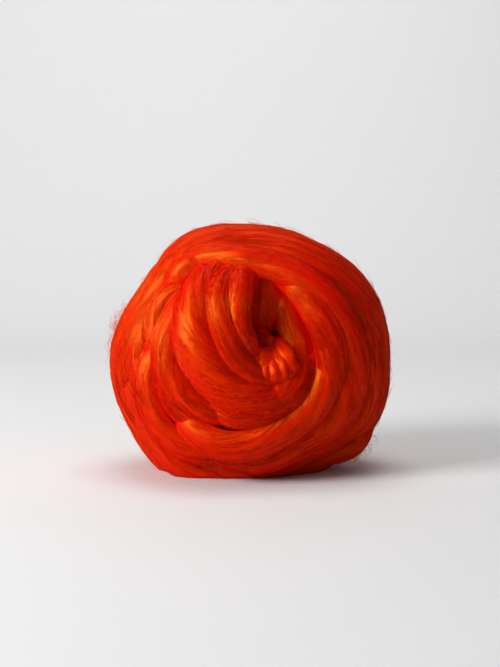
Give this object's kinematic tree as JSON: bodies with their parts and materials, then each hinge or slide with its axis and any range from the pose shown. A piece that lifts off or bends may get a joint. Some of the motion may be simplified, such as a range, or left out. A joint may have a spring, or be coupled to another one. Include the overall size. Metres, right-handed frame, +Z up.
{
  "type": "viscose roving ball",
  "caption": "Ball of glossy combed viscose roving, wound like a nest round a tucked end, standing on its edge.",
  "frame": {"origin": "on the surface that the ball stands on, under the middle of its box", "axes": "+Z up, +X across the ball's width to the right seen from the front, -Y towards the viewer of the face with the tucked end"},
  "size_m": [0.1202, 0.0994, 0.1041],
  "materials": {
    "viscose": "glossy combed orange-red viscose fibre"
  },
  "bodies": {
    "root": {"ball": "viscose"}
  },
  "joints": []
}
